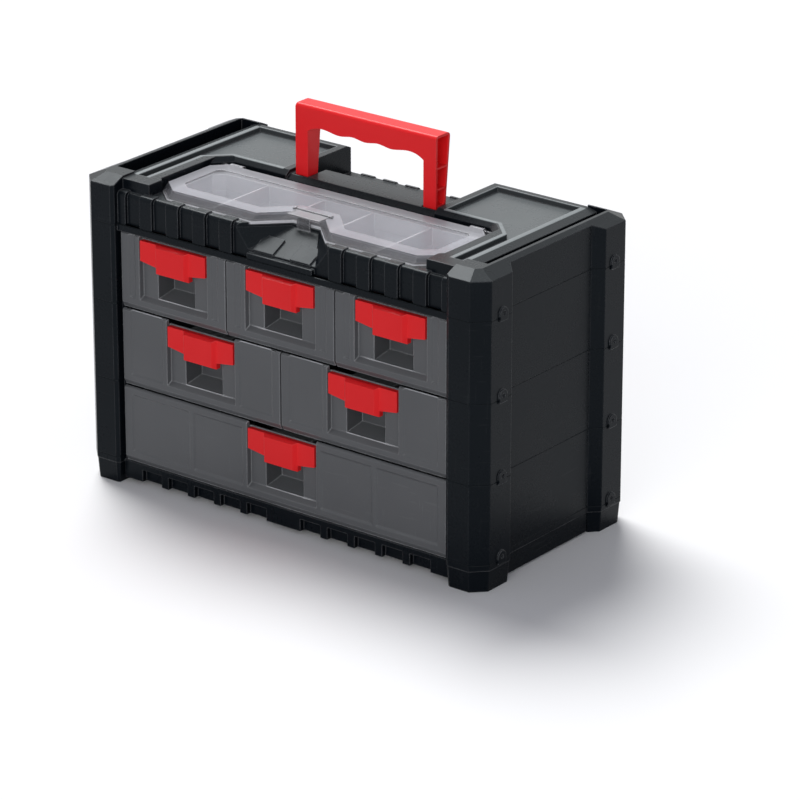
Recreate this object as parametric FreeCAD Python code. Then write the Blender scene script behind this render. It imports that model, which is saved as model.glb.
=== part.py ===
import FreeCAD, Part
import os

V = FreeCAD.Vector
os.makedirs("parts", exist_ok=True)

# Case envelope: X to the right, Y to the rear, Z up, floor at zero
CASE_WIDTH = 400.0
CASE_DEPTH = 196.0
BASE_HEIGHT = 22.9
TIER_PITCH = 66.3
CAP_HEIGHT = 38.0
BEVEL_RISE = 5.9
BEVEL_RUN = 13.0
WALL = 2.2
FLOOR = 2.2
OVER = 1.0

# Corner columns and the panels set back between them
COLUMN_WIDTH = 35.0
FACET_EDGE = 31.7
CORNER_CHAMFER = 11.8
COLUMN_DEPTH = 37.7
PANEL_INSET = 8.0
COLUMN_LEAD = 2.0

# Clip lugs at the seams on the column sides
LUG_WIDTH = 10.0
LUG_RISE = 3.0
LUG_TONGUE = 3.0
LUG_PROUD = 1.5
LUG_FROM_END = 26.0
LUG_HOLE_R = 1.6
LUG_HOLE_DEPTH = 1.2

# Plinth
FOOT_TOP = 18.0
FOOT_TAPER = 2.0
FOOT_STEP = 0.6
SKIRT_LIFT = 1.5
RAIL_LIFT = 4.0
RAIL_PROUD = 1.8
RAIL_GAP = 0.6
NOTCH_WIDTH = 20.0
NOTCH_TOP = 14.4
NOTCH_DEPTH = 4.5
RAIL_END = 28.75
RAIL_COUNT = 5

# Drawers and their bays
FIELD_MARGIN = 2.0
FRONT_SETBACK = 5.5
FRONT_THICK = 3.0
FRONT_DROP = 2.9
FRONT_CLEAR = 4.3
FRONT_GAP = 1.3
SHELF_GAP = 0.5
PARTITION = 2.0
SIDE_CLEAR = 0.5
BODY_HEIGHT = 50.0
BODY_CLEAR = 2.0
SKIN = 1.8
EDGE_RISE = 4.5
EDGE_RUN = 2.6
TOP_EDGE = 1.4
LIP_HEIGHT = 5.4
LIP_PROUD = 1.0
LIP_GAP = 0.5

# Recess, finger box and sunk panels of a drawer front, heights from its lower edge
RECESS_HALF = 35.0
RECESS_FLARE = 1.0
RECESS_DEPTH = 4.2
SILL = 9.0
SILL_SLOPE = 3.5
BACKING_TOP = 61.0
FINGER_HALF = 18.75
FINGER_DEPTH = 19.3
FINGER_RISE = 3.5
FINGER_TOP = 56.0
PANEL_SINK = 1.1
PANEL_SLOPE = 1.5
PANEL_MARGIN = 4.0
PANEL_BORDER = 7.5
PANEL_TOP = 59.0
PANEL_SPLIT = 92.0
SPLIT_RIB = 3.4

# Pulls, heights from the drawer front's lower edge
PULL_CLEAR = 0.4
PULL_TOP = 60.0
WING_PROUD = 0.4
WING_LOW = 43.0
WING_DIP = 2.5
GRIP_PROUD = 3.7
GRIP_HALF = 14.2
GRIP_FLARE = 2.8
GRIP_LOW = 35.5
GRIP_SLOPE = 1.6
GRIP_WALL = 2.6

# Cap front rail
RAIL_SETBACK = 8.5
PAD_PROUD = 2.9
PAD_WIDTH = 12.8
PAD_RISE = 1.2
END_PAD = 7.9
LEDGE_DROP = 11.9
RAIL_ROUND = 4.0
FIRST_PAD = 2
BLOCK_OVERLAP = 2.5
BLOCK_SETBACK = 4.0
BLOCK_DEPTH = 16.5

# Cap top plates, sunk panels and side slots
PLATE_DROP = 1.9
SUNK_DEPTH = 4.3
SUNK_FROM_BAY = 7.0
SUNK_MARGIN = 4.0
SUNK_FRONT = 14.5
SUNK_FROM_FRONT = 27.0
SUNK_FROM_REAR = 18.0
SUNK_CORNER = 19.0
STRIP_WIDTH = 8.0
PLATE_EDGE = 4.8
BANK_DROP = 2.5
SLOT_MARGIN = 16.0
SLOT_WIDTH = 10.4
SLOT_FROM_FRONT = 28.0
SLOT_FROM_REAR = 14.0
SLOT_DEPTH = 15.0

# Lid, its well and the bin tray
LID_MARGIN = 25.0
LID_SETBACK = 8.0
LID_REAR = 0.5
LID_CORNER_X = 17.5
LID_CORNER_Y = 15.0
LID_REAR_CORNER = 12.0
LID_HEIGHT = 6.3
LID_NOTCH_RAKE = 4.0
LID_BACK_RAKE = 6.0
LID_FRONT_RAKE = 5.8
LID_CORNER_RAKE = 5.0
LID_SIDE_RAKE = 2.0
LID_REAR_RAKE = 1.0
LID_SKIN = 1.8
LID_RIM = 12.5
LID_PANEL_SINK = 1.0
LID_CLEAR = 1.0
LEDGE_WIDTH = 4.5
FLANGE = 2.0
WELL_REAR = 7.0
WELL_CORNER = 13.0
WELL_EDGE_RUN = 5.0
WELL_EDGE_DROP = 3.5
TRAY_CLEAR = 0.5
TRAY_LIFT = 1.0
TRAY_WALL = 1.6
TRAY_FLOOR = 1.6
BIN_SLOPE = 8.0
BIN_DIVIDERS = (24.4, 81.5)

# Finger scoop in the cap's front
SCOOP_HALF = 45.5
SCOOP_LOW_HALF = 32.4
SCOOP_BACK_HALF = 13.5
SCOOP_DEPTH = 30.0
SHOULDER_DROP = 3.9
SCOOP_SILL = 5.0
SCOOP_CLIMB = 16.5
SCOOP_PROUD = 3.4
TILE_INNER = 8.4
TILE_OUTER = 28.3
TILE_RISE = 1.6
TILE_MARGIN = 2.5
TILE_LENGTH = 16.0

# Lid hinge
HINGE_Y = 2.0
HINGE_LIFT = 3.5
EAR_R = 3.2
EAR_WIDTH = 13.0
EAR_END_GAP = 1.5
STUB_R = 2.0
STUB_LENGTH = 5.0
STUB_GAP = 0.4
PIN_CLEAR = 0.05

# Latch
LATCH_HALF = 16.0
LATCH_REACH = 9.0
LATCH_OVERHANG = 3.5
LATCH_THICK = 1.8
LATCH_GAP = 0.4
LATCH_SEAT = 1.7
LATCH_BARREL_R = 1.5
LATCH_STUB_R = 0.9
LATCH_STUB = 2.4
LATCH_EAR = 2.6
HOOK_HALF = 6.5
HOOK_DROP = 9.5

# Folding handle
HANDLE_HALF = 70.0
LEG_WIDTH = 12.3
HANDLE_RISE = 54.0
HANDLE_FRONT = 14.3
HANDLE_DEPTH = 18.8
PIVOT_Y = 20.5
PIVOT_DROP = 9.8
PIVOT_R = 4.0
PIVOT_LENGTH = 8.0
HANDLE_ROUND = 3.5
HANDLE_SKIN = 2.2
GRIP_THICK = 17.4
BUMP_HEIGHT = 1.6
END_HEIGHT = 4.0
FINGER_PITCH = 25.0
LOW_RIB = 19.6
HIGH_RIB = 37.0
RIB_THICK = 1.8
POCKET_RISE = 6.5

# Handle bay in the cap
BAY_GAP = 4.0
BAY_DEPTH = 24.8
CHANNEL_FRONT = 12.8
CHANNEL_CLEAR = 1.0
STRIP_DROP = 4.8
STRIP_REAR = 36.0
REAR_PAD_PITCH = 22.5
REAR_PAD_COUNT = 3

# Levels and planes that follow from the sizes above
HALF_W = CASE_WIDTH / 2
HALF_D = CASE_DEPTH / 2
MOUTH_HALF = HALF_W - COLUMN_WIDTH
FACET_X = HALF_W - FACET_EDGE
PANEL_X = HALF_W - PANEL_INSET
BACK_Y = HALF_D - PANEL_INSET
COLUMN_Y = HALF_D - COLUMN_DEPTH
SEAMS = [BASE_HEIGHT + i * TIER_PITCH for i in range(4)]
CAP_LOW = SEAMS[-1]
RIM_Z = CAP_LOW + CAP_HEIGHT
PLATE_Z = RIM_Z - PLATE_DROP
LEDGE_Z = RIM_Z - LEDGE_DROP
FRONT_Y = FRONT_SETBACK - HALF_D
FRONT_BACK = FRONT_Y + FRONT_THICK
SHELF_FRONT = FRONT_BACK + SHELF_GAP
RAIL_PITCH = (MOUTH_HALF - RAIL_END) / RAIL_COUNT
FIELD_HALF = MOUTH_HALF - FIELD_MARGIN
GUIDE_HALF = FIELD_HALF - PARTITION / 2
RECESS_Y = FRONT_Y + RECESS_DEPTH
PULL_HALF = RECESS_HALF - RECESS_FLARE - PULL_CLEAR
FACE_Y = RAIL_SETBACK - HALF_D
LID_HALF = MOUTH_HALF - LID_MARGIN
LID_FRONT = FACE_Y + LID_SETBACK
BLOCK_INNER = LID_HALF - BLOCK_OVERLAP
BLOCK_FRONT = FACE_Y + BLOCK_SETBACK
BLOCK_REAR = BLOCK_FRONT + BLOCK_DEPTH
SUNK_OUTER = MOUTH_HALF - SUNK_MARGIN
SUNK_STRIP = SUNK_OUTER - STRIP_WIDTH
SUNK_START = SUNK_FROM_FRONT - HALF_D
SUNK_REAR = HALF_D - SUNK_FROM_REAR
BAY_HALF_X = HANDLE_HALF + BAY_GAP
SUNK_INNER = BAY_HALF_X + SUNK_FROM_BAY
SLOT_OUTER = HALF_W - SLOT_MARGIN
SLOT_INNER = SLOT_OUTER - SLOT_WIDTH
SLOT_FRONT = SLOT_FROM_FRONT - HALF_D
SLOT_REAR = HALF_D - SLOT_FROM_REAR
SCOOP_BACK = FACE_Y + SCOOP_DEPTH
SCOOP_SHOULDER = LEDGE_Z - SHOULDER_DROP
FLANGE_Z = LEDGE_Z - FLANGE
LID_TOP = LEDGE_Z + LID_HEIGHT
WELL_HALF = LID_HALF + LID_CLEAR
WELL_REAR_HALF = WELL_HALF - WELL_CORNER
HINGE_Z = LEDGE_Z + HINGE_LIFT
HINGE_WALL = WELL_REAR_HALF + WELL_REAR - HINGE_Y
STUB_END = HINGE_WALL + STUB_LENGTH
SEAT_Z = LID_TOP - LATCH_SEAT
LATCH_PIVOT_Y = SCOOP_BACK + LATCH_REACH
LATCH_FRONT = SCOOP_BACK - LATCH_OVERHANG
LATCH_PIVOT_Z = SEAT_Z + LATCH_GAP + LATCH_BARREL_R
BAY_FLOOR = RIM_Z - BAY_DEPTH
STRIP_TOP = RIM_Z - STRIP_DROP
PIVOT_Z = RIM_Z - PIVOT_DROP
HANDLE_TOP = RIM_Z + HANDLE_RISE
GRIP_VALLEY = HANDLE_TOP - GRIP_THICK
GRIP_BUMP = GRIP_VALLEY - BUMP_HEIGHT
GRIP_END = GRIP_VALLEY - END_HEIGHT
HANDLE_BACK = HANDLE_FRONT + HANDLE_DEPTH
KNUCKLE_R = PIVOT_Y - HANDLE_FRONT
CHANNEL_INNER = HANDLE_HALF - LEG_WIDTH - CHANNEL_CLEAR
CHANNEL_OUTER = HANDLE_HALF + CHANNEL_CLEAR


# Shape helpers
def box(x0, x1, y0, y1, z0, z1):
    return Part.makeBox(x1 - x0, y1 - y0, z1 - z0, V(x0, y0, z0))


def rod(x0, x1, y, z, radius):
    return Part.makeCylinder(radius, x1 - x0, V(x0, y, z), V(1, 0, 0))


def loop(points):
    return Part.makePolygon(points + points[:1])


def prism(points, z0, z1):
    return Part.Face(loop([V(x, y, z0) for x, y in points])).extrude(V(0, 0, z1 - z0))


def prism_x(points, x0, x1):
    return Part.Face(loop([V(x0, y, z) for y, z in points])).extrude(V(x1 - x0, 0, 0))


def prism_y(points, y0, y1):
    return Part.Face(loop([V(x, y0, z) for x, z in points])).extrude(V(0, y1 - y0, 0))


def loft(low, z0, high, z1):
    wires = [loop([V(x, y, z) for x, y in points]) for points, z in ((low, z0), (high, z1))]
    return Part.makeLoft(wires, True, True)


def loft_y(front, y0, back, y1):
    wires = [loop([V(x, y, z) for x, z in points]) for points, y in ((front, y0), (back, y1))]
    return Part.makeLoft(wires, True, True)


def inset(points, gap):
    gaps = gap if isinstance(gap, list) else [gap] * len(points)
    moved = []
    for i, point in enumerate(points):
        here = V(*point)
        before = (here - V(*points[i - 1])).normalize()
        after = (V(*points[(i + 1) % len(points)]) - here).normalize()
        n0 = V(-before.y, before.x)
        n1 = V(-after.y, after.x)
        turn = n0.dot(n1)
        mean, change = (gaps[i - 1] + gaps[i]) / 2, (gaps[i - 1] - gaps[i]) / 2
        shift = (n0 + n1) * (mean / (1 + turn))
        if change:
            shift += (n0 - n1) * (change / (1 - turn))
        moved.append((here.x + shift.x, here.y + shift.y))
    return moved


def flip_x(shape):
    return shape.mirror(V(0, 0, 0), V(1, 0, 0))


def flip_y(shape):
    return shape.mirror(V(0, 0, 0), V(0, 1, 0))


def both(shape):
    return [shape, flip_x(shape)]


def mirrored(points):
    return points + [(-x, y) for x, y in reversed(points)]


def join(first, *others):
    return first.multiFuse(list(others)).removeSplitter()


def round_x_edges(shape, radius, y, z):
    along = [e for e in shape.Edges if e.BoundBox.XLength > radius]
    near = [e for e in along if (e.CenterOfMass - V(e.CenterOfMass.x, y, z)).Length < radius / 2]
    return shape.makeFillet(radius, near)


def save(name, shape):
    shape.exportStep("parts/" + name + ".step")


# Plan outlines, counter-clockwise
def column_points():
    corner = [
        (FACET_X, -HALF_D),
        (HALF_W - CORNER_CHAMFER, -HALF_D),
        (HALF_W, CORNER_CHAMFER - HALF_D),
        (HALF_W, -COLUMN_Y),
        (PANEL_X, PANEL_INSET - COLUMN_Y),
    ]
    return corner + [(x, -y) for x, y in reversed(corner)]


def outline(front_y):
    mouth = [(MOUTH_HALF, front_y), (MOUTH_HALF, COLUMN_LEAD - HALF_D)]
    return mirrored(mouth + column_points() + [(FACET_X - PANEL_INSET, BACK_Y)])


def side_hollow(z0, z1):
    rear_y = max(BACK_Y, HALF_D - FACET_X + GUIDE_HALF)
    mouth = [(GUIDE_HALF, SHELF_FRONT), (MOUTH_HALF, SHELF_FRONT), (MOUTH_HALF, COLUMN_LEAD - HALF_D)]
    region = mouth + column_points() + [(GUIDE_HALF, rear_y)]
    return prism(inset(region, WALL), z0, z1)


def foot_points(lead):
    return [
        (MOUTH_HALF, PANEL_INSET - COLUMN_Y),
        (MOUTH_HALF, lead - HALF_D),
    ] + column_points()[:5]


# Clip lugs: an arch on the upper piece whose tongue reaches over the seam
def with_lugs(body, seam):
    for y in (LUG_FROM_END - HALF_D, HALF_D - LUG_FROM_END):
        face = HALF_W + LUG_PROUD
        y0, y1 = y - LUG_WIDTH / 2, y + LUG_WIDTH / 2
        tab = box(HALF_W, face, y0, y1, seam - LUG_TONGUE, seam + LUG_RISE)
        arch = rod(HALF_W, face, y, seam + LUG_RISE, LUG_WIDTH / 2)
        hole = rod(face - LUG_HOLE_DEPTH, face + OVER, y, seam + LUG_RISE, LUG_HOLE_R)
        body = join(body, *both(join(tab, arch).cut(hole)))
    return body


# Plinth
def base_frame():
    deck_z = BASE_HEIGHT - FLOOR
    plan = outline(SHELF_FRONT)
    solid = [prism(plan, deck_z, BASE_HEIGHT)]
    solid.append(prism(plan, FOOT_TOP, deck_z).cut(prism(inset(plan, WALL), FOOT_TOP - OVER, deck_z)))
    for lead, turn in ((COLUMN_LEAD, False), (FACET_X - MOUTH_HALF, True)):
        plan = foot_points(lead)
        low = inset(plan, FOOT_TAPER)
        high = inset(plan, FOOT_STEP)
        foot = loft(low, 0, high, FOOT_TOP).cut(loft(inset(low, WALL), 0, inset(high, WALL), FOOT_TOP))
        collar = prism(plan, FOOT_TOP, deck_z).cut(prism(inset(high, WALL), FOOT_TOP - OVER, deck_z))
        foot = join(foot, collar)
        solid += both(flip_y(foot) if turn else foot)
    skirt_y = COLUMN_Y - PANEL_INSET
    skirt_x = PANEL_X - FOOT_STEP
    solid += both(box(skirt_x - WALL, skirt_x, -skirt_y, skirt_y, SKIRT_LIFT, deck_z))
    solid.append(box(-MOUTH_HALF, MOUTH_HALF, BACK_Y - WALL, BACK_Y, RAIL_LIFT, deck_z))
    rail_top = BASE_HEIGHT - FRONT_DROP - RAIL_GAP
    rail_y = SHELF_FRONT - RAIL_PROUD
    back_y = rail_y + NOTCH_DEPTH
    rail = box(-MOUTH_HALF, MOUTH_HALF, rail_y, back_y + WALL, RAIL_LIFT, rail_top)
    middle = RAIL_PITCH - NOTCH_WIDTH / 2 - WALL
    notches = [box(-middle, middle, rail_y + WALL, back_y, 0, NOTCH_TOP)]
    for i in range(1, RAIL_COUNT + 1):
        x = i * RAIL_PITCH
        left, right = x - NOTCH_WIDTH / 2, x + NOTCH_WIDTH / 2
        notches += both(box(left, right, rail_y - OVER, back_y, 0, NOTCH_TOP))
    return join(*solid, rail.cut(notches))


# Tiers: open-topped frames, each standing on the piece below
def tier(level, bays, with_lip):
    low, high = SEAMS[level], SEAMS[level + 1]
    floor = low + FLOOR
    body = prism(outline(SHELF_FRONT), low, high)
    bay = box(-GUIDE_HALF, GUIDE_HALF, SHELF_FRONT - OVER, BACK_Y - WALL, floor, high + OVER)
    body = body.cut([bay] + both(side_hollow(floor, high + OVER)))
    pitch = 2 * FIELD_HALF / bays
    extra = []
    for i in range(1, bays):
        x = i * pitch - FIELD_HALF
        extra.append(box(x - PARTITION / 2, x + PARTITION / 2, SHELF_FRONT, BACK_Y, low, high))
    if with_lip:
        lip_y = FRONT_Y - LIP_PROUD
        extra.append(box(-MOUTH_HALF, MOUTH_HALF, lip_y, lip_y + WALL, high - LIP_HEIGHT, high))
    if extra:
        body = join(body, *extra)
    return with_lugs(body, low)


# Cap
def lid_plan():
    notch = [(SCOOP_BACK_HALF, SCOOP_BACK + LID_CLEAR), (scoop_half(LID_FRONT), LID_FRONT)]
    corner = [(LID_HALF - LID_CORNER_X, LID_FRONT), (LID_HALF, LID_FRONT + LID_CORNER_Y)]
    rear = [(LID_HALF, LID_REAR - LID_REAR_CORNER), (LID_HALF - LID_REAR_CORNER, LID_REAR)]
    return mirrored(notch + corner + rear)


def scoop_half(y):
    return SCOOP_BACK_HALF + (SCOOP_HALF - SCOOP_BACK_HALF) * (SCOOP_BACK - y) / (SCOOP_BACK - FACE_Y)


def scoop():
    sill = CAP_LOW + SCOOP_SILL
    front_y = FACE_Y - SCOOP_PROUD
    top = RIM_Z + OVER
    spread = (SCOOP_HALF - SCOOP_LOW_HALF) / (SCOOP_SHOULDER - sill)

    def section(half, low):
        foot = half - spread * (SCOOP_SHOULDER - low)
        return mirrored([(foot, low), (half, SCOOP_SHOULDER), (half, top)])

    mouth = section(scoop_half(front_y), sill)
    cavity = loft_y(mouth, front_y, section(SCOOP_BACK_HALF, sill + SCOOP_CLIMB), SCOOP_BACK)
    climb = SCOOP_CLIMB / (SCOOP_BACK - front_y)
    y0, y1 = front_y + TILE_MARGIN, front_y + TILE_MARGIN + TILE_LENGTH
    z0, z1 = sill + climb * TILE_MARGIN, sill + climb * (TILE_MARGIN + TILE_LENGTH)
    slab = [(y0, z0), (y1, z1), (y1, z1 + TILE_RISE), (y0, z0 + TILE_RISE)]
    return cavity, both(prism_x(slab, TILE_INNER, TILE_OUTER))


def well_plan():
    corner_y = WELL_REAR - WELL_CORNER
    side = [(WELL_HALF, corner_y - WELL_CORNER), (WELL_HALF, corner_y)]
    return mirrored(side + [(WELL_REAR_HALF, WELL_REAR)])


def well_edge(z):
    run = -WELL_EDGE_RUN * (1 + OVER / WELL_EDGE_DROP)
    return loft(well_plan(), z - WELL_EDGE_DROP, inset(well_plan(), [0, run, run, run, 0, 0]), z + OVER)


def rail_pads():
    pads = []
    spans = [(i * RAIL_PITCH, PAD_WIDTH) for i in range(FIRST_PAD, RAIL_COUNT + 1)]
    for x, width in spans + [(MOUTH_HALF - END_PAD / 2, END_PAD)]:
        y0, z1 = FACE_Y - PAD_PROUD, LEDGE_Z + PAD_RISE
        pad = box(x - width / 2, x + width / 2, y0, LID_FRONT - LID_CLEAR, CAP_LOW, z1)
        pads += both(round_x_edges(pad, RAIL_ROUND, y0, z1))
    for i in range(REAR_PAD_COUNT):
        x = (i + 0.5) * REAR_PAD_PITCH
        y1, z1 = BACK_Y + PAD_PROUD, BAY_FLOOR + PAD_RISE
        pad = box(x - PAD_WIDTH / 2, x + PAD_WIDTH / 2, BACK_Y - WALL, y1, CAP_LOW, z1)
        pads += both(round_x_edges(pad, RAIL_ROUND, y1, z1))
    return pads


def top_cap():
    far = HALF_D + OVER
    above = RIM_Z + OVER
    plan = [(HALF_W - CORNER_CHAMFER, -HALF_D), (HALF_W, CORNER_CHAMFER - HALF_D)]
    plan = mirrored(plan + [(x, -y) for x, y in reversed(plan)])
    shoulder = RIM_Z - BEVEL_RISE
    bevel = loft(plan, shoulder, inset(plan, BEVEL_RUN), RIM_Z)
    body = prism(outline(FACE_Y), CAP_LOW, RIM_Z).common(join(prism(plan, CAP_LOW, shoulder), bevel))
    cuts = [
        box(-MOUTH_HALF, MOUTH_HALF, -far, far, PLATE_Z, above),
        box(-MOUTH_HALF, MOUTH_HALF, -far, BLOCK_FRONT, LEDGE_Z, above),
        box(-BLOCK_INNER, BLOCK_INNER, -far, BLOCK_REAR, LEDGE_Z, above),
        box(-BAY_HALF_X, BAY_HALF_X, STRIP_REAR, far, BAY_FLOOR, above),
    ]
    body = round_x_edges(body.cut(cuts).removeSplitter(), RAIL_ROUND, FACE_Y, LEDGE_Z)
    sill = CAP_LOW + SCOOP_SILL
    apron = box(-SCOOP_LOW_HALF, SCOOP_LOW_HALF, FACE_Y - SCOOP_PROUD, FACE_Y, CAP_LOW, sill)
    body = join(body, apron, *rail_pads())

    lid = lid_plan()
    sunk_z = PLATE_Z - SUNK_DEPTH
    panel = [
        (SUNK_INNER, SUNK_FRONT),
        (SUNK_STRIP - SUNK_CORNER, SUNK_FRONT),
        (SUNK_STRIP, SUNK_FRONT - SUNK_CORNER),
        (SUNK_STRIP, SUNK_START),
        (SUNK_OUTER, SUNK_START),
        (SUNK_OUTER, SUNK_REAR),
        (SUNK_INNER, SUNK_REAR),
    ]
    cavity, tiles = scoop()
    cuts = [
        cavity,
        prism(inset(lid, -LID_CLEAR), FLANGE_Z, above),
        prism(inset(lid, LEDGE_WIDTH), CAP_LOW + FLOOR, above),
        prism(well_plan(), FLANGE_Z, above),
        well_edge(PLATE_Z),
        well_edge(STRIP_TOP).common(box(-BAY_HALF_X, BAY_HALF_X, 0, far, LEDGE_Z, above)),
        box(-BAY_HALF_X, BAY_HALF_X, WELL_REAR, far, STRIP_TOP, above),
    ]
    under = CAP_LOW - OVER
    inner_y, rear_y = WELL_REAR + WALL, BACK_Y - WALL
    strip_half = CHANNEL_INNER - WALL
    cuts.append(box(-BAY_HALF_X, BAY_HALF_X, inner_y, rear_y, under, BAY_FLOOR - WALL))
    strip_z = STRIP_TOP - WALL - WELL_EDGE_DROP
    cuts.append(box(-strip_half, strip_half, inner_y, STRIP_REAR - WALL, under, strip_z))
    hollow_z = sunk_z - WALL
    edge_y = BACK_Y - PLATE_EDGE
    edge = [(edge_y, PLATE_Z), (far, PLATE_Z - (far - edge_y) * BEVEL_RISE / BEVEL_RUN), (far, PLATE_Z)]
    bank_z = PLATE_Z - BANK_DROP
    bank = [(MOUTH_HALF, PLATE_Z), (SLOT_INNER, bank_z), (SLOT_INNER, above), (MOUTH_HALF, above)]
    sides = [
        prism(panel, sunk_z, above),
        prism_x(edge, BAY_HALF_X, MOUTH_HALF),
        loft_y(bank, SLOT_FRONT, bank, SLOT_REAR),
        box(SLOT_INNER, SLOT_OUTER, SLOT_FRONT, SLOT_REAR, RIM_Z - SLOT_DEPTH, above),
        rod(WELL_REAR_HALF, STUB_END, HINGE_Y, HINGE_Z, STUB_R + PIN_CLEAR),
        rod(HANDLE_HALF, HANDLE_HALF + PIVOT_LENGTH + OVER, PIVOT_Y, PIVOT_Z, PIVOT_R + PIN_CLEAR),
        box(CHANNEL_INNER, CHANNEL_OUTER, CHANNEL_FRONT, STRIP_REAR, BAY_FLOOR, above),
        box(BAY_HALF_X + WALL, GUIDE_HALF, inner_y, rear_y, under, hollow_z),
        box(WELL_HALF + WALL, GUIDE_HALF, BLOCK_FRONT + WALL, WELL_REAR, under, hollow_z),
        box(SCOOP_HALF + WALL, GUIDE_HALF, FACE_Y + WALL, LID_FRONT, under, LEDGE_Z - RAIL_ROUND),
        side_hollow(under, RIM_Z - SLOT_DEPTH - WALL),
    ]
    for tool in sides:
        cuts += both(tool)
    return with_lugs(join(body.cut(cuts), *tiles), CAP_LOW)


# Bin tray under the lid
def bin_tray():
    lid = lid_plan()
    shell = inset(lid, LEDGE_WIDTH + TRAY_CLEAR)
    low = CAP_LOW + FLOOR + TRAY_LIFT
    body = join(prism(shell, low, LEDGE_Z), prism(lid, FLANGE_Z, LEDGE_Z))
    rear = LID_REAR - LEDGE_WIDTH - TRAY_CLEAR - TRAY_WALL
    front = LID_FRONT + LEDGE_WIDTH + TRAY_CLEAR + TRAY_WALL
    middle_front = SCOOP_BACK + LID_CLEAR + LEDGE_WIDTH + TRAY_CLEAR + TRAY_WALL
    half_wall = TRAY_WALL / 2
    end = LID_HALF - LEDGE_WIDTH - TRAY_CLEAR - TRAY_WALL
    inner, outer = BIN_DIVIDERS
    inside = prism(inset(shell, TRAY_WALL), low + TRAY_FLOOR, LEDGE_Z + OVER)
    bins = [box(half_wall - inner, inner - half_wall, middle_front, rear, low + TRAY_FLOOR, LEDGE_Z + OVER)]
    for x0, x1 in ((inner + half_wall, outer - half_wall), (outer + half_wall, end)):
        span = box(x0, x1, front, rear, low + TRAY_FLOOR, LEDGE_Z + OVER)
        bins += both(inside.common(span))
    for space in bins:
        floor_edges = [e for e in space.Edges if e.BoundBox.ZMax < low + TRAY_FLOOR + OVER / 2]
        body = body.cut(space.makeChamfer(BIN_SLOPE, floor_edges))
    return body


# Lid with moulded pivots
def bin_lid():
    low = lid_plan()
    rakes = [LID_NOTCH_RAKE, LID_FRONT_RAKE, LID_CORNER_RAKE, LID_SIDE_RAKE, LID_REAR_RAKE]
    rakes = rakes + [LID_REAR_RAKE] + rakes[::-1] + [LID_BACK_RAKE]
    top = inset(low, rakes)
    inside = inset(low, [rake + LID_SKIN for rake in rakes])
    body = loft(low, LEDGE_Z, top, LID_TOP)
    hollow = loft(inset(low, LID_SKIN), LEDGE_Z, inside, LID_TOP - LID_SKIN - LID_PANEL_SINK)
    panel = prism(inset(top, LID_RIM), LID_TOP - LID_PANEL_SINK, LID_TOP + OVER)
    side = LATCH_HALF + LATCH_GAP
    front, rear = LATCH_FRONT - LATCH_GAP, LATCH_PIVOT_Y + LATCH_BARREL_R + LATCH_GAP
    body = body.cut([hollow, panel, box(-side, side, front, rear, SEAT_Z, LID_TOP + OVER)])

    ear_end = WELL_REAR_HALF - EAR_END_GAP
    ear_start = ear_end - EAR_WIDTH
    root = LID_REAR - LID_REAR_RAKE - LID_SKIN
    web = box(ear_start, ear_end, root, HINGE_Y, HINGE_Z - EAR_R + LID_SKIN / 2, LID_TOP)
    barrel = rod(ear_start, ear_end, HINGE_Y, HINGE_Z, EAR_R)
    ears = both(join(web, barrel, rod(ear_end, STUB_END - STUB_GAP, HINGE_Y, HINGE_Z, STUB_R)))
    bore = LATCH_STUB_R + PIN_CLEAR
    size = bore + LID_SKIN / 2
    y0, y1 = LATCH_PIVOT_Y - size, LATCH_PIVOT_Y + size
    lug = box(side, side + LATCH_EAR, y0, y1, LID_TOP - LID_SKIN, LATCH_PIVOT_Z + size)
    lug_bores = both(rod(side - OVER, side + LATCH_EAR + OVER, LATCH_PIVOT_Y, LATCH_PIVOT_Z, bore))
    return join(body, *ears, *both(lug)).cut(lug_bores)


# Latch over the scoop, with moulded stubs
def lid_latch():
    plate_z = SEAT_Z + LATCH_GAP
    plate = box(-LATCH_HALF, LATCH_HALF, LATCH_FRONT, LATCH_PIVOT_Y, plate_z, plate_z + LATCH_THICK)
    barrel = rod(-LATCH_HALF, LATCH_HALF, LATCH_PIVOT_Y, LATCH_PIVOT_Z, LATCH_BARREL_R)
    stub_end = LATCH_HALF + LATCH_STUB
    stubs = rod(-stub_end, stub_end, LATCH_PIVOT_Y, LATCH_PIVOT_Z, LATCH_STUB_R)
    hook = box(-HOOK_HALF, HOOK_HALF, LATCH_FRONT, LATCH_FRONT + LATCH_THICK, plate_z - HOOK_DROP, plate_z)
    return join(plate, barrel, stubs, hook)


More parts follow.
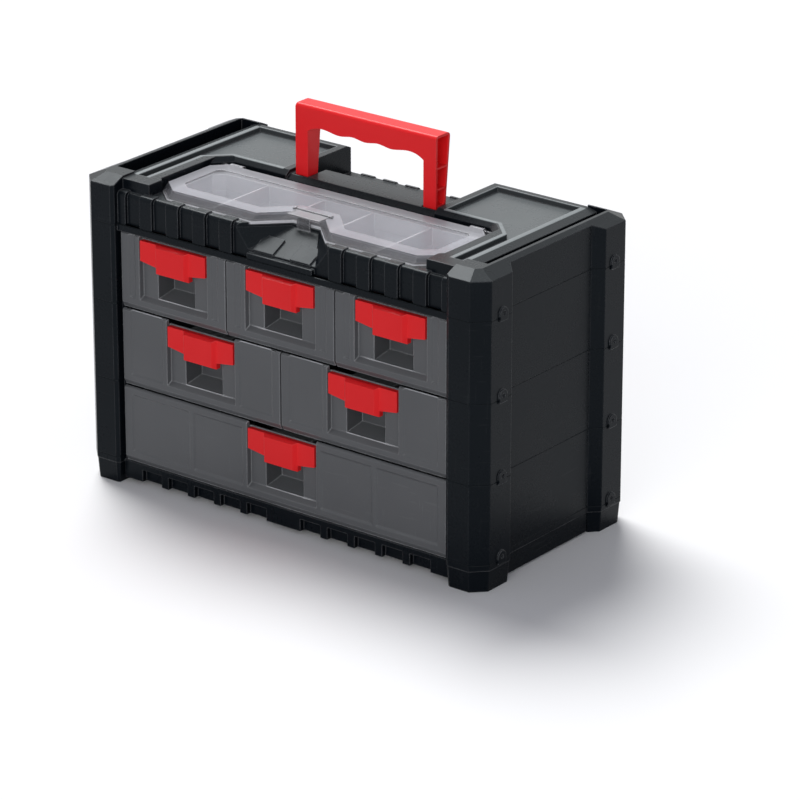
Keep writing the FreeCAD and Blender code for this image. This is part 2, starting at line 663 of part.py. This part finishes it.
# Folding handle with moulded pivots
def carry_handle():
    back_low = PIVOT_Y + KNUCKLE_R
    profile = [
        (HANDLE_FRONT, PIVOT_Z),
        (back_low, PIVOT_Z),
        (HANDLE_BACK, HANDLE_TOP),
        (HANDLE_FRONT, HANDLE_TOP),
    ]
    body = prism_x(profile, -HANDLE_HALF, HANDLE_HALF)
    body = round_x_edges(body, HANDLE_ROUND, HANDLE_FRONT, HANDLE_TOP)
    body = round_x_edges(body, HANDLE_ROUND, HANDLE_BACK, HANDLE_TOP)
    body = join(body, rod(-HANDLE_HALF, HANDLE_HALF, PIVOT_Y, PIVOT_Z, KNUCKLE_R))
    inner = HANDLE_HALF - LEG_WIDTH
    low = PIVOT_Z - KNUCKLE_R - OVER
    wave = []
    for i in range(-3, 4):
        wave.append(V(i * FINGER_PITCH / 2, 0, GRIP_VALLEY if i % 2 else GRIP_BUMP))
    wave = [V(-inner, 0, GRIP_END)] + wave + [V(inner, 0, GRIP_END)]
    curve = Part.BSplineCurve()
    curve.interpolate(wave)
    frame = Part.makePolygon([wave[-1], V(inner, 0, low), V(-inner, 0, low), wave[0]])
    opening = Part.Face(Part.Wire([curve.toShape()] + frame.Edges))
    cuts = [opening.extrude(V(0, HANDLE_BACK + KNUCKLE_R, 0))]
    web_x = inner + HANDLE_SKIN
    core = prism_x(inset(profile, HANDLE_SKIN), web_x, HANDLE_HALF + OVER)
    half_rib = RIB_THICK / 2
    ribs = [PIVOT_Z + POCKET_RISE - half_rib, PIVOT_Z + LOW_RIB, PIVOT_Z + HIGH_RIB]
    ribs.append(HANDLE_TOP - HANDLE_SKIN + half_rib)
    for low_rib, high_rib in zip(ribs, ribs[1:]):
        z0, z1 = low_rib + half_rib, high_rib - half_rib
        cuts += both(core.common(box(web_x, HANDLE_HALF + OVER, 0, HANDLE_BACK, z0, z1)))
    stubs = both(rod(web_x, HANDLE_HALF + PIVOT_LENGTH, PIVOT_Y, PIVOT_Z, PIVOT_R))
    return join(body.cut(cuts), *stubs)


# Drawers: centre, seam below, height of the front, and the panel spans from the centre line
def sink(x0, x1, z0, z1, depth, side, low, high):
    def section(k):
        left, right, bottom, top = x0 + k * side, x1 - k * side, z0 + k * low, z1 - k * high
        return [(left, bottom), (right, bottom), (right, top), (left, top)]

    return loft_y(section(-1), FRONT_Y - depth, section(1), FRONT_Y + depth)


def drawer(x, level, pitch, split):
    seam = SEAMS[level]
    low = seam - FRONT_DROP
    top = seam + TIER_PITCH - (LIP_HEIGHT + LIP_GAP if level == 2 else FRONT_CLEAR)
    half = pitch / 2 - FRONT_GAP / 2
    profile = [
        (FRONT_Y, low + EDGE_RISE),
        (FRONT_Y + EDGE_RUN, low),
        (FRONT_BACK, low),
        (FRONT_BACK, top),
        (FRONT_Y + TOP_EDGE, top),
        (FRONT_Y, top - TOP_EDGE),
    ]
    front = prism_x(profile, -half, half)
    wide = pitch / 2 - PARTITION / 2 - SIDE_CLEAR
    shelf = seam + FLOOR
    back = BACK_Y - WALL - BODY_CLEAR
    tub = box(-wide, wide, FRONT_BACK, back, shelf, shelf + BODY_HEIGHT)
    room = wide - SKIN
    tub = tub.cut(box(-room, room, FRONT_BACK, back - SKIN, shelf + SKIN, shelf + BODY_HEIGHT + OVER))
    plate_half = RECESS_HALF + SKIN
    plate = box(-plate_half, plate_half, FRONT_BACK, RECESS_Y + SKIN, shelf, low + BACKING_TOP)
    finger_back = RECESS_Y + FINGER_DEPTH
    pan_half = FINGER_HALF + SKIN
    pan = box(-pan_half, pan_half, RECESS_Y, finger_back + SKIN, shelf, low + FINGER_TOP + SKIN)
    body = join(front, tub, plate, pan)

    sill_z = low + SILL + SILL_SLOPE
    opening = [
        (RECESS_Y - OVER, sill_z),
        (finger_back, sill_z + FINGER_RISE),
        (finger_back, low + FINGER_TOP),
        (RECESS_Y - OVER, low + FINGER_TOP),
    ]
    cuts = [prism_x(opening, -FINGER_HALF, FINGER_HALF)]
    recess = (RECESS_DEPTH, RECESS_FLARE, SILL_SLOPE, 0)
    cuts.append(sink(-RECESS_HALF, RECESS_HALF, low + SILL, top + OVER, *recess))
    near, far = RECESS_HALF + PANEL_MARGIN, half - PANEL_BORDER
    panel_top = low + PANEL_TOP if split else top + PANEL_SLOPE + OVER
    halves = [(near, PANEL_SPLIT - SPLIT_RIB / 2), (PANEL_SPLIT + SPLIT_RIB / 2, far)]
    slopes = (PANEL_SLOPE, PANEL_SLOPE, PANEL_SLOPE)
    for x0, x1 in halves if split else [(near, far)]:
        if x1 - x0 > 2 * PANEL_SLOPE:
            cuts += both(sink(x0, x1, low + SILL, panel_top, PANEL_SINK, *slopes))
    body = body.cut(cuts)
    body.translate(V(x, 0, 0))
    return body


# Pulls: wings on the recess floor and a hollow grip over the finger box
def pull(x, level):
    low = SEAMS[level] - FRONT_DROP
    wing_y = FRONT_Y - WING_PROUD
    grip_y = FRONT_Y - GRIP_PROUD
    top = low + PULL_TOP
    root = GRIP_HALF + GRIP_FLARE
    wing = mirrored([(root, low + WING_LOW - WING_DIP), (PULL_HALF, low + WING_LOW), (PULL_HALF, top)])
    wings = prism_y(wing, wing_y, RECESS_Y)

    def section(half, z0, z1):
        return [(-half, z0), (half, z0), (half, z1), (-half, z1)]

    inner = section(root, low + GRIP_LOW, top)
    face = section(GRIP_HALF, low + GRIP_LOW + GRIP_SLOPE, top - GRIP_SLOPE)
    grip = join(loft_y(face, grip_y, inner, wing_y), prism_y(inner, wing_y, RECESS_Y))
    pocket_half = GRIP_HALF - GRIP_WALL
    pocket = box(-pocket_half, pocket_half, grip_y + GRIP_WALL, RECESS_Y + OVER, low, low + FINGER_TOP)
    body = join(wings, grip).cut(pocket)
    body.translate(V(x, 0, 0))
    return body


save("base_frame", base_frame())
for level, (name, bays) in enumerate((("lower", 1), ("middle", 2), ("upper", 3))):
    save(name + "_tier", tier(level, bays, name == "upper"))
save("top_cap", top_cap())
save("bin_tray", bin_tray())
save("bin_lid", bin_lid())
save("lid_latch", lid_latch())
save("carry_handle", carry_handle())

ROWS = (("bottom",), ("middle_left", "middle_right"), ("top_left", "top_middle", "top_right"))
for level, names in enumerate(ROWS):
    pitch = 2 * FIELD_HALF / len(names)
    for i, name in enumerate(names):
        centre = (i + 0.5) * pitch - FIELD_HALF
        save("drawer_" + name, drawer(centre, level, pitch, len(names) == 1))
        save("pull_" + name, pull(centre, level))
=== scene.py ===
# %% [markdown]
# # A tool storage caddy
# The caddy is a stack of black mouldings with grey drawers, red pulls, a milky lid over small
# bins and a folding red handle. All of its solids come from the imported CAD model, so this lesson
# is about finishing them: softened moulding edges, plastics with grain and wear, light, camera.
# The model loads first.

# %% Load the imported part
import math

import bpy
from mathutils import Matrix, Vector

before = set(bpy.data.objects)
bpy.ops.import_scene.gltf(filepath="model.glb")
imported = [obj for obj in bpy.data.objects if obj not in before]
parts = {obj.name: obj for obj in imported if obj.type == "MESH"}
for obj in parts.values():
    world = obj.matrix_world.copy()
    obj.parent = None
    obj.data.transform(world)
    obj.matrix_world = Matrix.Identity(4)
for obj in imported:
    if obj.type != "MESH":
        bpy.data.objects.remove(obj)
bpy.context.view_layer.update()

# %% [markdown]
# ## Softened edges
# A moulded edge is never a knife edge: the mould has a small radius, and it draws the thin
# bright line that shows where two faces meet. The radius could be painted with a shader, but
# then the exported meshes would stay sharp. Here it is geometry, made by modifiers, so the CAD
# meshes under them stay as they are. Weld joins the faces along their shared edges, Bevel
# rounds every edge that turns by more than the sharp angle, and Weighted Normal keeps the
# large faces looking flat. Loop slide is off, because it would pull the new edges along the
# diagonals of the triangles and leave faint wedges beside the lugs.

# %% Round the moulded edges
MM = 0.001
WELD_REACH = 0.004 * MM
SHARP_ANGLE = math.radians(32)
EDGE_SEGMENTS = 2
SHELL_RADIUS, DRAWER_RADIUS, FINE_RADIUS = 0.45 * MM, 0.6 * MM, 0.3 * MM
FINE_PIECES = ("bin_lid", "lid_latch", "bin_tray", "carry_handle")


def soften(piece, radius):
    weld = piece.modifiers.new("join_faces", "WELD")
    weld.merge_threshold = WELD_REACH
    edge = piece.modifiers.new("mould_radius", "BEVEL")
    edge.width = radius
    edge.segments = EDGE_SEGMENTS
    edge.limit_method = "ANGLE"
    edge.angle_limit = SHARP_ANGLE
    edge.use_clamp_overlap = False
    edge.loop_slide = False
    edge.miter_outer = "MITER_ARC"
    shade = piece.modifiers.new("flat_shading", "WEIGHTED_NORMAL")
    shade.keep_sharp = True


def radius_of(name):
    if name in FINE_PIECES or name.startswith("pull_"):
        return FINE_RADIUS
    return DRAWER_RADIUS if name.startswith("drawer_") else SHELL_RADIUS


for name, piece in parts.items():
    soften(piece, radius_of(name))
print("softened", len(parts), "pieces")

# %% [markdown]
# ## Writing shaders as sums
# Node trees are hard to read once they are dragged together by hand. A small class holds one
# socket and lets Python's own signs build the Math nodes, so a mask reads like a formula, and
# one method makes any other node: first its settings, then its sockets.

# %% Sockets that add up
class Wire:
    def __init__(self, graph, socket):
        self.graph = graph
        self.socket = socket

    def beside(self, output):
        return Wire(self.graph, self.socket.node.outputs[output])

    def maths(self, operation, first, second):
        return self.graph.node("Math", {"operation": operation}, {0: first, 1: second})

    def or_else(self, other):
        return self.maths("MAXIMUM", self, other)

    def size(self):
        return self.graph.node("Math", {"operation": "ABSOLUTE"}, {0: self})

    def __add__(self, other):
        return self.maths("ADD", self, other)

    def __sub__(self, other):
        return self.maths("SUBTRACT", self, other)

    def __mul__(self, other):
        return self.maths("MULTIPLY", self, other)

    def __rsub__(self, other):
        return self.maths("SUBTRACT", other, self)

    __radd__ = __add__
    __rmul__ = __mul__


class Graph:
    def __init__(self, tree):
        self.tree = tree

    def feed(self, socket, value):
        if isinstance(value, Wire):
            self.tree.links.new(value.socket, socket)
        else:
            socket.default_value = value

    def node(self, kind, settings, sockets, out=0):
        made = self.tree.nodes.new("ShaderNode" + kind)
        for key, value in settings.items():
            setattr(made, key, value)
        for key, value in sockets.items():
            self.feed(made.inputs[key], value)
        return Wire(self, made.outputs[out])


class Finish(Graph):
    def __init__(self, name, uniform):
        self.material = bpy.data.materials.new(name)
        self.material.use_nodes = True
        super().__init__(self.material.node_tree)
        self.shader = self.tree.nodes["Principled BSDF"]
        for socket, value in uniform.items():
            self.shader.inputs[socket].default_value = value
        self.place = self.node("TexCoord", {}, {}, "Object")

    def varies(self, **looks):
        for socket, wire in looks.items():
            self.feed(self.shader.inputs[socket.replace("_", " ")], wire)
        return self


print("shader maths ready")

# %% [markdown]
# ## Masks
# A mask says where on a piece something happens, from 0 for nowhere to 1 for fully. Masks could
# be painted on image maps, but a formula needs no unwrapping and no file. All of them work in
# the piece's own coordinates, which are the CAD model's, so a mark stays on a drawer when it
# slides out and on the lid when it opens.

# %% Clouds, bands and places
COLOUR_MIX = {"data_type": "RGBA", "blend_type": "MIX"}
MIX_A, MIX_B, MIX_OUT = 6, 7, 2
SOFT_DETAIL, THIN_DETAIL = 3.0, 2.0
SOFT_LIMIT = 0.4 * MM
LEVEL_CUT = (0.85, 0.99)


def cloud(finish, scale, detail=SOFT_DETAIL, stretch=None):
    where = finish.place
    if stretch:
        where = finish.node("Mapping", {}, {"Vector": where, "Scale": stretch})
    return finish.node("TexNoise", {}, {"Vector": where, "Scale": scale, "Detail": detail})


def band(finish, value, low, high):
    spread = {"From Min": low, "From Max": high, "To Min": 0.0, "To Max": 1.0}
    return finish.node("MapRange", {"clamp": True}, {"Value": value, **spread})


def blend_colour(finish, amount, first, second):
    return finish.node("Mix", COLOUR_MIX, {0: amount, MIX_A: first, MIX_B: second}, MIX_OUT)


def both_sides(finish):
    along_x = finish.node("SeparateXYZ", {}, {0: finish.place}, "X")
    return along_x.size(), along_x.beside("Y"), along_x.beside("Z")


def beyond(finish, value, limit):
    return band(finish, value, limit * MM - SOFT_LIMIT, limit * MM)


def within(finish, *spans):
    mask = 1.0
    for value, (low, high) in zip(both_sides(finish), spans):
        mask = mask * beyond(finish, value, low)
        mask = mask * band(finish, value, high * MM + SOFT_LIMIT, high * MM)
    return mask


def level_faces(finish, both_ways=False):
    slope = finish.node("SeparateXYZ", {}, {0: finish.place.beside("Normal")}, "Z")
    return band(finish, slope.size() if both_ways else slope, *LEVEL_CUT)


print("masks ready")

# %% [markdown]
# ## Habits of moulded plastic
# All of the caddy is moulded plastic, so the finishes share a few habits. The mould is spark
# eroded, which leaves a fine leather-like grain. Handling leaves thin scratches. The edges turn
# paler, partly where they rub and partly from a painted highlight, so a bevelled normal is
# compared with the true one to find them. The edges inside the seams between the tiers can't be
# touched and lie in shade, so they get neither wear nor painted highlight and stay dark.

# %% Grain, scratches and edges with wear and painted highlight
GRAIN_SCALE, GRAIN_DEPTH = 1500.0, 0.008 * MM
PIT_SHARE, GRAIN_BLUR = 0.6, 0.7
ALONG, ACROSS, ACROSS_FINER = (1.0, 1.0, 14.0), (16.0, 3.0, 1.0), 1.3
ALONG_CUT, ACROSS_CUT = (0.66, 0.70), (0.67, 0.71)
HANDLED_SCALE, HANDLED_CUT = 9.0, (0.45, 0.65)
EDGE_REACH, EDGE_SAMPLES, EDGE_TURN = 1.1 * MM, 4, (0.01, 0.16)
EDGE_MARK_SCALE, EDGE_MARK_CUT, EDGE_MARK_LEAST = 38.0, (0.38, 0.62), 0.55
FIRST_SEAM, TIER_PITCH, SEAMS = 22.9 * MM, 66.3 * MM, 4
SEAM_REACH, SEAM_END = 1.0 * MM, 1.5 * MM


def grain(finish):
    pits = finish.node("TexVoronoi", {}, {"Vector": finish.place, "Scale": GRAIN_SCALE})
    blur = cloud(finish, GRAIN_SCALE * GRAIN_BLUR)
    height = pits * PIT_SHARE + blur * (1.0 - PIT_SHARE)
    return finish.node("Bump", {}, {"Strength": 1.0, "Distance": GRAIN_DEPTH, "Height": height})


def scratches(finish, scale):
    along = cloud(finish, scale, THIN_DETAIL, ALONG)
    across = cloud(finish, scale * ACROSS_FINER, THIN_DETAIL, ACROSS)
    thin = band(finish, along, *ALONG_CUT) + band(finish, across, *ACROSS_CUT)
    return thin * band(finish, cloud(finish, HANDLED_SCALE), *HANDLED_CUT)


def bevel_edge_mask(finish):
    rounded = finish.node("Bevel", {"samples": EDGE_SAMPLES}, {"Radius": EDGE_REACH})
    face = finish.node("NewGeometry", {}, {}, "Normal")
    dot = {"operation": "DOT_PRODUCT"}
    along = finish.node("VectorMath", dot, {0: rounded, 1: face}, "Value")
    return band(finish, 1.0 - along, *EDGE_TURN)


# Edges paler partly from wear and partly from a painted highlight, broken up by a cloud.
def worn_and_highlit_edges(finish):
    uneven = band(finish, cloud(finish, EDGE_MARK_SCALE), *EDGE_MARK_CUT)
    return bevel_edge_mask(finish) * (uneven * (1.0 - EDGE_MARK_LEAST) + EDGE_MARK_LEAST)


# Keeps wear and painted highlight off the edges at the seams between tiers, which lie in shade.
def off_the_seams(finish):
    height = finish.node("SeparateXYZ", {}, {0: finish.place}, "Z")
    mask = 1.0
    for seam in range(SEAMS):
        gap = (height - (FIRST_SEAM + seam * TIER_PITCH)).size()
        mask = mask * band(finish, gap, SEAM_REACH, SEAM_END)
    return mask


print("plastic habits ready")

# %% [markdown]
# ## One recipe for the opaque plastics
# The colour drifts a little where the melt flowed, and a patchy pale layer of painted top light
# lies on the level faces. A finish can name further places where that painted light is thicker.
# Then come the edges, paler from wear and from a painted highlight, and the scratches, and last
# the shine: patches polished by hands over a fine mottle. One recipe with different numbers makes
# every opaque plastic, because they all come from the same kind of mould.

# %% Mix a moulded plastic
WHITE = (1.0, 1.0, 1.0, 1)
# A pale colour laid on as painted light: top light on level faces, sheen on the cap's sunk panels,
# highlight on their lips.
PALE_PAINTED_LIGHT = (0.375, 0.41, 0.415, 1)
PLASTIC_IOR = 1.5
FLOW_SCALE, FLOW_CUT = 11.0, (0.3, 0.7)
LIGHT_PATCH_SCALE, LIGHT_PATCH_SPREAD, LIGHT_PATCH_LEAST = 17.0, 0.3, 0.85
SCRATCH_SCALE, SCRATCH_SHARE = 30.0, 0.04
POLISH_SCALE, POLISH_SPREAD = 26.0, 0.16
MOTTLE_SCALE, MOTTLE_SPREAD = 420.0, 0.08
MEAN_POLISH = (POLISH_SPREAD + MOTTLE_SPREAD) / 2


def moulded(
    name, colours, rough, shine, wear_and_highlight=0.5, top_light=0.0, painted_sheens=(), keep_off=None, sheen=WHITE
):
    base, flow, worn_and_highlit_colour = colours
    uniform = {"Specular IOR Level": shine, "IOR": PLASTIC_IOR, "Specular Tint": sheen}
    finish = Finish(name, uniform)
    flowed = band(finish, cloud(finish, FLOW_SCALE), *FLOW_CUT)
    colour = blend_colour(finish, flowed, base, flow)
    patches = cloud(finish, LIGHT_PATCH_SCALE) * LIGHT_PATCH_SPREAD + LIGHT_PATCH_LEAST
    # The pale layer is painted light: top light on the level faces, then any painted sheen the
    # finish names.
    for place, share in ((level_faces, top_light), *painted_sheens):
        colour = blend_colour(finish, place(finish) * patches * share, colour, PALE_PAINTED_LIGHT)
    # Edge marks: paler from wear and from a painted highlight; the scratches are real wear.
    wear_and_highlight_mask = worn_and_highlit_edges(finish) * wear_and_highlight
    if keep_off:
        wear_and_highlight_mask = wear_and_highlight_mask * keep_off(finish)
    marks = wear_and_highlight_mask + scratches(finish, SCRATCH_SCALE) * (wear_and_highlight * SCRATCH_SHARE)
    colour = blend_colour(finish, marks, colour, worn_and_highlit_colour)
    polish = cloud(finish, POLISH_SCALE) * POLISH_SPREAD
    mottle = cloud(finish, MOTTLE_SCALE) * MOTTLE_SPREAD
    roughness = polish + mottle + (rough - MEAN_POLISH)
    return finish.varies(Base_Color=colour, Roughness=roughness, Normal=grain(finish))


print("moulding recipe ready")

# %% [markdown]
# ## Black, grey, red and pale grey
# The shell is black with a cool sheen. On the cap, the sunk top panels carry a pale painted
# sheen that stands in for their reflection, and the lips round them carry a pale painted
# highlight. The pocket's outline has a broad part behind its front edge, a strip along the side
# and a slanted corner between them, so three limits describe it on both sides at once. Its lip
# is the same outline grown by the lip's width, at the plate's own level. The drawers are mid
# grey, the pulls and the handle red, and the tray is pale, so that its walls show through the lid.

# %% Mix the opaque plastics
PANEL_X, PANEL_Y, PANEL_LEVELS = (80.5, 161.5), (-71.5, 80.5), (250.0, 257.3)
LIP_X, LIP_LEVELS, LIP_WIDTH = (80.5, 165.5), (257.5, 258.5), 3.0
PANEL_FRONT, STRIP_INNER, PANEL_CORNER = 14.0, 152.5, 148.5
# Painted sheen on the sunk panels, half as strong on their steep walls, and painted highlight on
# the lips.
STEEP_SHEEN = 0.5
PANEL_SHEEN, LIP_HIGHLIGHT = 0.27, 0.66


def pocket_side(finish, grow=0.0):
    sideways, rearward, _ = both_sides(finish)
    behind = beyond(finish, rearward, PANEL_FRONT - grow)
    beside = beyond(finish, sideways, STRIP_INNER - grow)
    corner = beyond(finish, sideways + rearward, PANEL_CORNER - grow * math.sqrt(2.0))
    return behind.or_else(beside).or_else(corner)


# The sunk panels, where a painted sheen stands in for their reflection.
def sunk_panels(finish):
    pocket = within(finish, PANEL_X, PANEL_Y, PANEL_LEVELS) * pocket_side(finish)
    return pocket * (level_faces(finish) * (1.0 - STEEP_SHEEN) + STEEP_SHEEN)


# The lips round the sunk panels, where a painted highlight lies.
def highlit_lips(finish):
    return within(finish, LIP_X, PANEL_Y, LIP_LEVELS) * pocket_side(finish, LIP_WIDTH)


# The third colour of each plastic goes on its edges: wear and a painted highlight.
BLACK = ((0.0030, 0.0045, 0.0068, 1), (0.0042, 0.0060, 0.0085, 1), (0.21, 0.215, 0.225, 1))
GREY = ((0.095, 0.099, 0.105, 1), (0.109, 0.113, 0.119, 1), (0.62, 0.63, 0.65, 1))
RED = ((0.86, 0.015, 0.019, 1), (0.91, 0.019, 0.023, 1), (0.95, 0.09, 0.09, 1))
PALE = ((0.58, 0.585, 0.615, 1), (0.63, 0.635, 0.665, 1), (0.94, 0.94, 0.97, 1))
SHELL = dict(
    colours=BLACK, rough=0.28, shine=0.095, wear_and_highlight=0.8,
    keep_off=off_the_seams, sheen=(0.86, 0.96, 1.0, 1),
)
# The number for the level faces sets how much painted top light each plastic gets.
shell_black = moulded("shell_black", top_light=0.06, **SHELL)
cap_painted_sheens = ((sunk_panels, PANEL_SHEEN), (highlit_lips, LIP_HIGHLIGHT))
cap_black = moulded("cap_black", top_light=0.13, painted_sheens=cap_painted_sheens, **SHELL)
drawer_grey = moulded("drawer_grey", GREY, rough=0.34, shine=0.26, wear_and_highlight=0.9, top_light=0.20)
pull_red = moulded("pull_red", RED, rough=0.34, shine=0.2)
tray_grey = moulded("tray_grey", PALE, rough=0.42, shine=0.3, wear_and_highlight=1.0)
opaque = (shell_black, cap_black, drawer_grey, pull_red, tray_grey)
print("opaque plastics:", [finish.material.name for finish in opaque])

# %% [markdown]
# ## The see-through plastics
# The lid is milky polypropylene: light goes through it, but the bins below look soft. Real
# transmission would need many samples and would not survive an export, so the lid is a pale
# gloss whose Alpha lets part of the tray through. Its raised rim is thicker and milkier than the
# sunk panel, its steep walls are painted a smoky grey as painted shade, and its edges carry
# white lines of painted highlight. The clear latch follows the same recipe.

# %% Mix the milky lid and the clear latch
# Painted shade for the lid's steep walls.
WALL_SHADE_GREY = (0.070, 0.072, 0.080, 1)
CLEAR_WHITE = (0.90, 0.90, 0.93, 1)
LID_IOR, LID_SHINE = 1.49, 0.5
RIM_LEVELS = (253.7 * MM, 253.9 * MM)
LID_FLOW_SCALE, VEIL_SCALE, HAZE_SCALE, LID_SCRATCH_SCALE = 14.0, 20.0, 30.0, 34.0
WALL_VEIL, LINE_VEIL, VEIL_SPREAD = 0.50, 0.25, 0.04
# Strengths of the painted highlight along the edges and of the white in real scratches.
EDGE_HIGHLIGHT, WHITE_MARKS = 0.8, 0.2
HAZE_SPREAD = 0.12


def milky(name, colours, panel_veil, rim_veil, rough):
    finish = Finish(name, {"Specular IOR Level": LID_SHINE, "IOR": LID_IOR})
    flowed = band(finish, cloud(finish, LID_FLOW_SCALE), *FLOW_CUT)
    flat = level_faces(finish, both_ways=True)
    height = finish.node("SeparateXYZ", {}, {0: finish.place}, "Z")
    raised = band(finish, height, *RIM_LEVELS)
    highlit_edges = bevel_edge_mask(finish)
    marks = scratches(finish, LID_SCRATCH_SCALE)
    # Steep walls get a painted shade, then the edges a painted highlight over the real scratches.
    colour = blend_colour(finish, flat, WALL_SHADE_GREY, blend_colour(finish, flowed, *colours))
    whitened = marks * WHITE_MARKS + highlit_edges * EDGE_HIGHLIGHT
    colour = blend_colour(finish, whitened, colour, CLEAR_WHITE)
    veil = flat * (raised * (rim_veil - panel_veil) + panel_veil) + (1.0 - flat) * WALL_VEIL
    alpha = veil + cloud(finish, VEIL_SCALE) * VEIL_SPREAD + highlit_edges * LINE_VEIL
    roughness = cloud(finish, HAZE_SCALE) * HAZE_SPREAD + rough
    return finish.varies(Base_Color=colour, Alpha=alpha, Roughness=roughness)


LID_TINTS = ((0.66, 0.67, 0.72, 1), (0.72, 0.73, 0.78, 1))
LATCH_TINTS = ((0.62, 0.64, 0.66, 1), (0.70, 0.72, 0.74, 1))
lid_milky = milky("lid_milky", LID_TINTS, panel_veil=0.11, rim_veil=0.40, rough=0.16)
latch_clear = milky("latch_clear", LATCH_TINTS, panel_veil=0.30, rim_veil=0.40, rough=0.18)
print("see-through plastics:", [f.material.name for f in (lid_milky, latch_clear)])

# %% [markdown]
# ## Dressing the pieces
# On the real caddy each moulding has one plastic. A CAD piece keeps its mesh and its place, and
# only its material slots change, so one finish per piece is all that is needed.

# %% Give every piece its finish
FINISHES = {
    "top_cap": cap_black,
    "bin_tray": tray_grey,
    "bin_lid": lid_milky,
    "lid_latch": latch_clear,
    "carry_handle": pull_red,
}


def finish_of(name):
    if name.startswith("drawer_"):
        return drawer_grey
    if name.startswith("pull_"):
        return pull_red
    return FINISHES.get(name, shell_black)


for name, piece in parts.items():
    piece.data.materials.clear()
    piece.data.materials.append(finish_of(name).material)
print("dressed", len(parts), "pieces")

# %% [markdown]
# ## Floor
# The caddy stands on a plain white sweep. The floor is one large sheet. For the camera, and in
# reflections, it is white, and it is greyer for the light that bounces off it, so the background
# stays white without lighting up the dark plastics from below, and the shadow stays on it.

# %% Lay the floor
FLOOR_HALF = 12.0
FLOOR_ROUGH = 0.9
BOUNCE, SEEN = (0.30, 0.30, 0.31, 1), (0.945, 0.945, 0.945, 1)
corners = [(x * FLOOR_HALF, y * FLOOR_HALF, 0) for x, y in ((-1, -1), (1, -1), (1, 1), (-1, 1))]
sheet = bpy.data.meshes.new("floor")
sheet.from_pydata(corners, [], [(0, 1, 2, 3)])
floor = bpy.data.objects.new("floor", sheet)
bpy.context.scene.collection.objects.link(floor)


def looked_at(graph):
    path = graph.node("LightPath", {}, {}, "Is Camera Ray")
    return path + path.beside("Is Glossy Ray") + path.beside("Is Transmission Ray")


white_floor = Finish("white_floor", {"Roughness": FLOOR_ROUGH, "Specular IOR Level": 0.0})
white_floor.varies(Base_Color=blend_colour(white_floor, looked_at(white_floor), BOUNCE, SEEN))
floor.data.materials.append(white_floor.material)
print("floor", 2 * FLOOR_HALF, "m wide")

# %% [markdown]
# ## Light
# In the picture the shadow falls to the right and to the front, with a soft rim, and the drawer
# fronts are evenly lit. A wide sun from the rear left casts that shadow, and a wider and lower
# one fills the front. Area lamps would fall off across the floor, and suns don't. The sky is
# dim for the light it sends and white where it is looked at.

# %% Light the set
AMBIENT = (0.22, 0.225, 0.255, 1)
world = bpy.data.worlds.new("studio")
bpy.context.scene.world = world
world.use_nodes = True
studio = Graph(world.node_tree)
sky = studio.tree.nodes["Background"].inputs
studio.feed(sky["Color"], blend_colour(studio, looked_at(studio), AMBIENT, WHITE))
studio.feed(sky["Strength"], 1.0)


def sun(name, towards, strength, softness):
    lamp = bpy.data.lights.new(name, "SUN")
    lamp.energy = strength
    lamp.angle = math.radians(softness)
    made = bpy.data.objects.new(name, lamp)
    bpy.context.scene.collection.objects.link(made)
    made.rotation_euler = Vector(towards).to_track_quat("-Z", "Y").to_euler()
    return made


lamps = (
    sun("key_from_rear_left", towards=(0.56, -0.36, -1.0), strength=2.9, softness=30),
    sun("fill_from_front", towards=(-0.45, 1.0, -0.15), strength=1.75, softness=60),
)
print("lamps:", [lamp.name for lamp in lamps])

# %% [markdown]
# ## Camera
# The picture was taken with a long lens from the right, a little above. The viewing angle,
# distance and target come from fitting the straight edges of the case.

# %% Set the camera
LENS, SENSOR, CLIP_END = 204.36, 36.0, 100.0
AZIMUTH, ELEVATION = math.radians(37.909), math.radians(21.789)
DISTANCE = 3.59031
TARGET = Vector((0.04605, 0.0, 0.09393))
back = Vector((
    math.sin(AZIMUTH) * math.cos(ELEVATION),
    -math.cos(AZIMUTH) * math.cos(ELEVATION),
    math.sin(ELEVATION),
))
lens = bpy.data.cameras.new("camera")
lens.lens = LENS
lens.sensor_width = SENSOR
lens.clip_end = CLIP_END
camera = bpy.data.objects.new("camera", lens)
bpy.context.scene.collection.objects.link(camera)
camera.location = TARGET + back * DISTANCE
camera.rotation_euler = (-back).to_track_quat("-Z", "Y").to_euler()
bpy.context.scene.camera = camera
bpy.context.scene.view_settings.view_transform = "Standard"
print("camera at", [round(x, 3) for x in camera.location])

# %% [markdown]
# ## Bring the scene up to date
# The view layer is updated once more at the end. The dressed model has to stay inside the
# CAD box.

# %% Update the view layer
bpy.context.view_layer.update()
